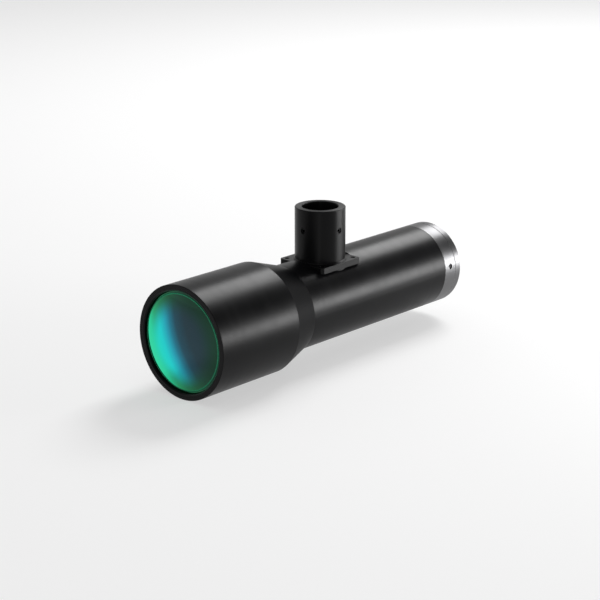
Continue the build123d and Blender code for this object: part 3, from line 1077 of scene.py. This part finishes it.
class LENS_OT_camera_end(bpy.types.Operator):
    """Finish the bright ring and build the camera mount with its real thread"""

    bl_idname = "lens.camera_end"
    bl_label = "Camera end"

    def execute(self, context):
        finish = context.scene.lens_finish
        thread = context.scene.lens_thread
        material = turned_bright("turned_aluminium", finish)
        dress(["rear_ring", "camera_mount"], material)
        plate = MOUNT_HIGH.x
        plate_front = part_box("rear_ring")[1].y
        groove_middle = (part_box("ring_set_screws")[0].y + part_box("ring_set_screws")[1].y) / 2
        bore = thread.bore / 2
        tip = MOUNT_HIGH.y
        profile = [
            (bore, MOUNT_LOW.y),
            (NECK_RADIUS - MOUNT_EDGE_BREAK, MOUNT_LOW.y),
            (NECK_RADIUS, MOUNT_LOW.y + MOUNT_EDGE_BREAK),
            (NECK_RADIUS, groove_middle - NECK_GROOVE_HALF),
            (NECK_GROOVE_RADIUS, groove_middle - NECK_GROOVE_HALF),
            (NECK_GROOVE_RADIUS, groove_middle + NECK_GROOVE_HALF),
            (NECK_RADIUS, groove_middle + NECK_GROOVE_HALF),
            (NECK_RADIUS, plate_front),
            (plate - MOUNT_EDGE_BREAK, plate_front),
            (plate, plate_front + MOUNT_EDGE_BREAK),
            (plate, -MOUNT_EDGE_BREAK),
            (plate - MOUNT_EDGE_BREAK, 0.0),
            (thread.major / 2, 0.0),
            (None, None),
            (thread.major / 2 - THREAD_LEAD_IN, tip),
            (bore + MOUNT_EDGE_BREAK, tip),
            (bore, tip - MOUNT_EDGE_BREAK),
        ]
        points = threaded_profile(profile, thread, THREAD_START, tip - THREAD_LEAD_IN)
        piece = closed_grid("camera_mount_threaded", points)
        smooth_with_edges(piece, THREAD_SHARP)
        piece.data.materials.append(material)
        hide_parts("camera_mount")
        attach(piece, "root")
        return {"FINISHED"}


class LENS_OT_screws(bpy.types.Operator):
    """Finish the set screws and the flange screws"""

    bl_idname = "lens.screws"
    bl_label = "Screws"

    def execute(self, context):
        finish = context.scene.lens_finish
        black_oxide = screw_steel("black_oxide_steel", finish.black_screw, 0.3)
        dress(["port_set_screws", "port_flange_screws"], black_oxide)
        dress(["ring_set_screws"], screw_steel("plain_screw_steel", finish.plain_screw, 0.28))
        return {"FINISHED"}


class LENS_OT_glass(bpy.types.Operator):
    """Finish the coated front glass, the inner glass and the beamsplitter plate"""

    bl_idname = "lens.glass"
    bl_label = "Glass"

    def execute(self, context):
        glass = context.scene.lens_glass
        material = coated_glass("coated_front_glass", glass)
        dress(["front_crown_lens"], material)
        piece = turned_solid("front_crown_lens_coated", front_glass_profile(glass), glass.steps)
        smooth_with_edges(piece, GLASS_SHARP)
        piece.data.materials.append(material)
        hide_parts("front_crown_lens")
        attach(piece, "root")
        dress(CLEAR_NODES, clear_glass("polished_glass", (0.90, 0.96, 0.94)))
        dress(["beamsplitter_plate"], clear_glass("half_silvered_glass", (0.85, 0.87, 0.86), 0.5))
        return {"FINISHED"}


class LENS_OT_stage(bpy.types.Operator):
    """Make the pale floor, the soft lights and the camera"""

    bl_idname = "lens.stage"
    bl_label = "Stage"

    def execute(self, context):
        stage = context.scene.lens_stage
        self.make_floor(stage)
        self.make_world(context.scene)
        centre = Vector((0.0, (CAD_BOX[0][1] + CAD_BOX[1][1]) / 2, 0.0))
        powers = (stage.key_power, stage.side_power, stage.strip_power)
        for (name, place), power in zip(LIGHTS.items(), powers):
            self.make_light(name, centre, *place, power)
        self.make_overhead(stage)
        self.make_camera(context.scene, stage)
        return {"FINISHED"}

    def make_floor(self, stage):
        """A round floor: a point at share s of the radius and turn t stands at (s R cos t, s R sin t)."""
        reach = np.geomspace(FLOOR_MIDDLE, 1.0, FLOOR_RINGS)[:, None] * stage.floor_radius
        turns = full_turn(FLOOR_STEPS)
        height = CAD_BOX[0][2] + 0 * reach * turns
        points = np.stack([reach * np.cos(turns), reach * np.sin(turns), height], axis=-1)
        middle = list(range(len(turns)))
        faces = [*grid_faces(*points.shape[:2], False).tolist(), middle]
        floor = new_piece("floor", points.reshape(-1, 3), faces)
        material, tree = new_material("pale_floor")
        cloud = noise(tree, object_place(tree), 3.0, 3.0)
        shade = [value * 0.99 for value in stage.floor_colour]
        inputs = {
            "Base Color": blend_colours(tree, cloud, shade, stage.floor_colour),
            "Roughness": 0.9,
            "Specular IOR Level": 0.1,
            "Emission Color": (1.0, 1.0, 1.0, 1.0),
            "Emission Strength": stage.floor_glow,
        }
        finish_material(tree, inputs)
        floor.data.materials.append(material)

    def make_world(self, scene):
        """A studio wall all round that is pale near the floor and darker above."""
        world = bpy.data.worlds.new("studio")
        scene.world = world
        world.use_nodes = True
        tree = world.node_tree
        tree.nodes.clear()
        direction = add_node(tree, "ShaderNodeTexCoord").outputs["Generated"]
        parts = add_node(tree, "ShaderNodeSeparateXYZ", {0: direction}).outputs
        height = calculate(tree, "MULTIPLY_ADD", parts["X"], 0.25, parts["Z"])
        wall = colour_ramp(tree, height, WALL)
        background = add_node(tree, "ShaderNodeBackground", {"Color": wall, "Strength": 1.0})
        add_node(tree, "ShaderNodeOutputWorld", {"Surface": background.outputs[0]})

    def make_light(self, name, centre, azimuth, elevation, distance, size, power):
        """A rectangular light that faces the lens. Azimuth is from +Y towards +X, in degrees."""
        a, e = math.radians(azimuth), math.radians(elevation)
        out = Vector((math.sin(a) * math.cos(e), math.cos(a) * math.cos(e), math.sin(e)))
        data = bpy.data.lights.new(name, "AREA")
        data.shape = "RECTANGLE"
        data.size, data.size_y = size
        data.energy = power
        light = bpy.data.objects.new(name, data)
        light.location = centre + out * distance
        light.rotation_euler = out.to_track_quat("Z", "Y").to_euler()
        light.visible_camera = False
        bpy.context.scene.collection.objects.link(light)

    def make_overhead(self, stage):
        """A wide soft light straight above, even over the whole floor."""
        data = bpy.data.lights.new("overhead_light", "SUN")
        data.energy = stage.overhead_strength
        data.angle = OVERHEAD_SPREAD
        light = bpy.data.objects.new("overhead_light", data)
        bpy.context.scene.collection.objects.link(light)

    def make_camera(self, scene, stage):
        """The camera at the photograph's angle."""
        a, e = stage.azimuth, stage.elevation
        back = Vector((math.sin(a) * math.cos(e), -math.cos(a) * math.cos(e), math.sin(e)))
        data = bpy.data.cameras.new("camera")
        data.sensor_width = 36.0
        data.lens = stage.focal
        data.clip_start = 0.01
        data.clip_end = 100.0
        camera = bpy.data.objects.new("camera", data)
        camera.location = stage.place
        camera.rotation_euler = back.to_track_quat("Z", "Y").to_euler()
        scene.collection.objects.link(camera)
        scene.camera = camera
        scene.view_settings.view_transform = "Standard"


class LENS_PT_panel(bpy.types.Panel):
    """The lens's finishes and stage"""

    bl_idname = "LENS_PT_panel"
    bl_label = "Telecentric lens"
    bl_space_type = "VIEW_3D"
    bl_region_type = "UI"
    bl_category = "Lens"

    def draw(self, context):
        for group_name in SETTINGS:
            group = getattr(context.scene, group_name)
            for name in group.__annotations__:
                self.layout.prop(group, name)
        for operator in OPERATORS:
            self.layout.operator(operator.bl_idname)


OPERATORS = (
    LENS_OT_bodies,
    LENS_OT_inside,
    LENS_OT_camera_end,
    LENS_OT_screws,
    LENS_OT_glass,
    LENS_OT_stage,
)
SETTINGS = {
    "lens_finish": LensFinish,
    "lens_front": LensFront,
    "lens_thread": LensThread,
    "lens_glass": LensGlass,
    "lens_stage": LensStage,
}
CLASSES = (*SETTINGS.values(), *OPERATORS, LENS_PT_panel)


def register():
    """Registers the classes and hangs the settings on the scene."""
    for cls in CLASSES:
        bpy.utils.register_class(cls)
    for name, group in SETTINGS.items():
        setattr(bpy.types.Scene, name, PointerProperty(type=group))


def unregister():
    """Takes the settings and the classes away again."""
    for name in SETTINGS:
        delattr(bpy.types.Scene, name)
    for cls in reversed(CLASSES):
        bpy.utils.unregister_class(cls)


def main():
    """Builds every piece and the stage."""
    register()
    for operator in OPERATORS:
        group, name = operator.bl_idname.split(".")
        getattr(getattr(bpy.ops, group), name)()


if __name__ == "__main__":
    main()
